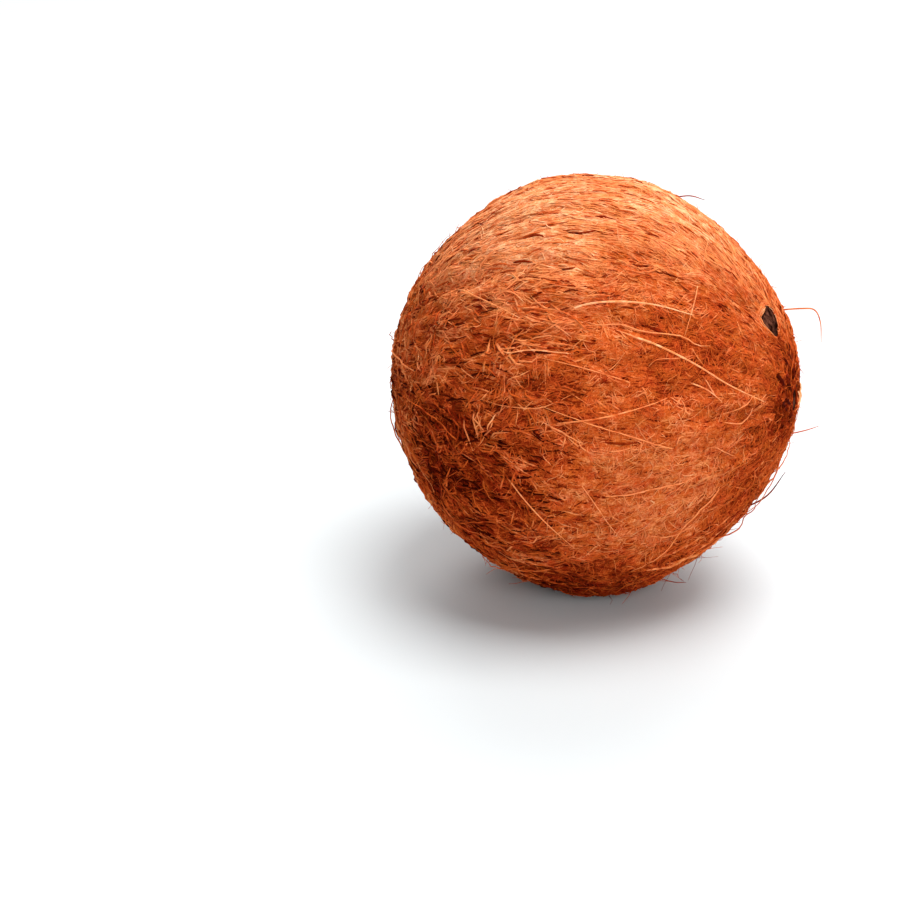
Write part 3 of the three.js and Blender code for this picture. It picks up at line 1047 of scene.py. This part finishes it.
STALK_SCAR = (
    ((8, 189), (5.5, 166), (7, 135)),
    ((6.5, 190), (5, 152), (8, 129)),
    ((7, 196), (4.5, 172), (5.5, 131)),
    ((5, 191), (4, 145), (7, 122)),
    ((4.5, 154), (6, 131), (9, 126)),
)
MARK_STEPS = 16


def hand_laid(name, strands, thickness, low, high, tones):
    """Tapered strands through the places, which arch from one height to another and back."""
    share = np.linspace(0, 1, MARK_STEPS)
    arch = np.sin(pi * share) ** 0.6
    radii = draw.uniform(*thickness, len(strands))[:, None] * (0.3 + 0.7 * arch) * MM
    heights = (low + (high - low) * arch) * MM
    points = []
    for places, radius in zip(strands, radii):
        angles = np.radians(np.array(places, float))
        ways = unit(smooth_line(direction(angles[:, 0], angles[:, 1]), MARK_STEPS))
        points.append(laid(ways, heights, radius))
    fibre_piece(name, np.array(points), radii, draw.uniform(*tones, len(strands)), sides=6)


hand_laid("fine_strands", FINE_STRANDS, (0.13, 0.21), -0.1, 0.6, (0.62, 0.82))
# Painted shade: the cracks and crevices are dark strands that stand for the shade in them.
hand_laid("mat_cracks_painted_shade", CRACKS, (0.22, 0.42), -0.45, 0.12, (0.04, 0.20))
hand_laid("stalk_crevices_painted_shade", CREVICES, (0.45, 0.80), -0.5, 0.15, (0.0, 0.08))
hand_laid("husk_straps", STRAPS, (0.45, 0.65), -0.3, 0.0, (0.58, 0.66))
hand_laid("stalk_scar", STALK_SCAR, (0.3, 0.5), -0.4, 0.5, (0.74, 0.92))

# %% [markdown]
# In each eye lies a dry, dark skin, thin and slightly wrinkled. A disc with inset rings is bent
# to a shallow bowl and given thickness, which keeps it a closed piece of its own.

# %% Eye skins
SKIN_SIDES = 48
SKIN_RINGS = 9
SKIN_RADIUS = 4.5 * MM
SKIN_THICKNESS = 0.35 * MM
SKIN_DEPTH = 2.0 * MM
SKIN_SINK = 0.15 * MM
WRINKLE_HEIGHT = 0.25 * MM
WRINKLE_FINENESS = 900
SKIN_TONES = ((0.44, (0.011, 0.002, 0.001, 1)), (0.68, (0.170, 0.060, 0.036, 1)))


def eye_skin_finish():
    material, tree, shader = new_material("eye_skin", 1.0, 0.0)
    blotch = noise_value(tree, object_place(tree), 420.0, 5.0, Roughness=0.7)
    ramp = wired(tree, "ValToRGB", Fac=blotch)
    for element, (place, colour) in zip(ramp.color_ramp.elements, SKIN_TONES):
        element.position = place
        element.color = colour
    dress(tree, shader, ramp.outputs["Color"], blotch, Strength=0.6, Distance=0.3 * MM)
    return material


def eye_skin_mesh(name, eye):
    shape = bmesh.new()
    bmesh.ops.create_circle(shape, cap_ends=True, segments=SKIN_SIDES, radius=SKIN_RADIUS)
    for ring in range(SKIN_RINGS):
        inner = [face for face in shape.faces if len(face.verts) == SKIN_SIDES]
        bmesh.ops.inset_region(shape, faces=inner, thickness=SKIN_RADIUS / (SKIN_RINGS + 1))
    for vertex in shape.verts:
        reach = vertex.co.xy.length / SKIN_RADIUS
        wrinkle = noise.noise(vertex.co * WRINKLE_FINENESS) * WRINKLE_HEIGHT
        vertex.co.z = -SKIN_DEPTH * (1 - reach ** 2) + wrinkle * (1 - reach)
    bmesh.ops.solidify(shape, geom=shape.faces, thickness=SKIN_THICKNESS)
    outwards = Vector((0, 0, 1)).rotation_difference(Vector(eye)).to_matrix()
    middle = Vector(eye) * (float(nut_radius(eye)) - SKIN_SINK)
    for turn, shift in ((outwards, middle), (Matrix(REST_TURN), (0, 0, REST_HEIGHT))):
        bmesh.ops.rotate(shape, verts=shape.verts, matrix=turn)
        bmesh.ops.translate(shape, verts=shape.verts, vec=shift)
    bmesh.ops.recalc_face_normals(shape, faces=shape.faces)
    return mesh_of(shape, name)


EYE_SKIN = eye_skin_finish()
for number, eye in enumerate(EYES, 1):
    name = f"eye_skin_{number}"
    finish_piece(add_object(name, eye_skin_mesh(name, eye)), EYE_SKIN)

# %% [markdown]
# Fibres part at an eye and bend round it, and form its pale lip. They are arcs of a circle
# about the eye's middle, each with its own radius, start and height. Some, the lashes, run
# inwards instead and cross the rim. A reach is in millimetres from the eye's middle.

# %% Fibres round the eyes
LIP_FIBRES = 170
LIP_STEPS = 8
LASHES = 64
LASH_STARTS = (5.4, 6.6)
LASH_ENDS = (1.6, 4.2)
LASH_TURNS = (-0.5, 0.5)
ARC_REACHES = (3.7, 6.6)
ARC_TURNS = (0.5, 1.7)
LIP_LEVELS = (-0.3, 0.15)
LIP_WIDTHS = (0.12 * MM, 0.2 * MM)
RIM_REACH = 4.9 * MM
RIM_PALER = 0.20


def lip_fibres():
    lines, proud, rims = [], [], []
    ways = np.linspace(0, 1, LIP_STEPS)
    for eye in EYES:
        first = unit(np.cross(eye, [0, 0, 1.0]))
        second = np.cross(eye, first)
        for fibre in range(LIP_FIBRES):
            begin = draw.uniform(0, 2 * pi)
            if fibre < LASHES:
                reach = np.linspace(draw.uniform(*LASH_STARTS), draw.uniform(*LASH_ENDS), LIP_STEPS)
                turns = begin + ways * draw.uniform(*LASH_TURNS)
            else:
                reach = draw.uniform(*ARC_REACHES) + ways * draw.normal(0, 0.5)
                turns = begin + ways * draw.uniform(*ARC_TURNS)
            reach = reach * MM
            angles = (reach / MEAN_RADIUS)[:, None]
            ring = np.cos(turns)[:, None] * first + np.sin(turns)[:, None] * second
            lines.append(unit(eye * np.cos(angles) + ring * np.sin(angles)))
            crest = np.exp(-(((reach - LIP_REACH) / LIP_WIDTH) ** 2))
            over = 1.5 * smooth_step(LIP_REACH - reach, 0, 3 * MM)
            proud.append((draw.uniform(*LIP_LEVELS) - over) * MM + LIP_HEIGHT * crest)
            rims.append(RIM_PALER if reach[0] < RIM_REACH else 0.0)
    lines = np.array(lines)
    count = len(lines)
    radii = draw.uniform(*LIP_WIDTHS, count)[:, None] * (1 - 0.5 * np.linspace(-1, 1, LIP_STEPS) ** 2)
    tones = tone_with_painted_light(lines[:, 0]) + rims + draw.normal(0, 0.08, count)
    return laid(lines, np.array(proud), radii), radii, tones


fibre_piece("eye_lip_fibre", *lip_fibres())

# %% [markdown]
# The set is a pale table top that fills the view and four lights: a broad soft one above at the
# right, a weaker low one in front, a large one far behind, and an even one from all round.

# %% Table and light
TABLE_SIDE = 8.0
TABLE_COLOUR = (0.575, 0.602, 0.610, 1)
LIGHT_ALL_ROUND = 0.375


def soft_light(name, place, size, power):
    """A square area light that faces the nut's middle."""
    data = bpy.data.lights.new(name, "AREA")
    data.size = size
    data.energy = power
    light = add_object(name, data)
    light.location = place
    towards = Vector((0, 0, REST_HEIGHT)) - Vector(place)
    light.rotation_euler = towards.to_track_quat("-Z", "Y").to_euler()


shape = bmesh.new()
bmesh.ops.create_grid(shape, x_segments=1, y_segments=1, size=TABLE_SIDE / 2)
table = add_object("pale_table", mesh_of(shape, "pale_table"))
material, tree, shader = new_material("pale_table", 0.8, 0.2)
shader.inputs["Base Color"].default_value = TABLE_COLOUR
table.data.materials.append(material)
soft_light("key", (0.45, -0.08, 1.90), 1.2, 44.0)
soft_light("fill", (0.38, -0.87, 0.30), 0.8, 7.3)
soft_light("background", (-0.1, 2.5, 1.9), 2.5, 86.0)
world = bpy.data.worlds.new("studio")
world.use_nodes = True
world.node_tree.nodes["Background"].inputs["Color"].default_value = WHITE
world.node_tree.nodes["Background"].inputs["Strength"].default_value = LIGHT_ALL_ROUND
scene = bpy.context.scene
scene.world = world
scene.view_settings.view_transform = "Standard"
print("the table is", TABLE_SIDE, "m wide")

# %% [markdown]
# The camera has a long lens and looks down on the nut a little. It stands where the nut looks
# right, and is then turned, not shifted, until the nut is off the middle as in the picture.

# %% Camera
PICTURE_SIDE = 900
NUT_PIXEL = (600.7, 376)
METRES_PER_PIXEL = 0.2863 * MM
AZIMUTH = radians(5)
ELEVATION = radians(18)
LENS = 85
SENSOR = 36

data = bpy.data.cameras.new("camera")
data.lens = LENS
data.sensor_width = SENSOR
camera = add_object("camera", data)
right = Vector((math.cos(AZIMUTH), math.sin(AZIMUTH), 0))
level = math.cos(ELEVATION)
back = Vector((math.sin(AZIMUTH) * level, -math.cos(AZIMUTH) * level, math.sin(ELEVATION)))
up = back.cross(right)
middle = Vector((0, 0, REST_HEIGHT))
distance = PICTURE_SIDE * METRES_PER_PIXEL * LENS / SENSOR
off_x = (NUT_PIXEL[0] - PICTURE_SIDE / 2) * METRES_PER_PIXEL
off_y = (PICTURE_SIDE / 2 - NUT_PIXEL[1]) * METRES_PER_PIXEL
camera.location = middle + back * distance
aim = middle - right * off_x - up * off_y
camera.rotation_euler = (aim - camera.location).to_track_quat("-Z", "Y").to_euler()
scene.camera = camera
print("the camera is", round(distance, 3), "m from the nut")
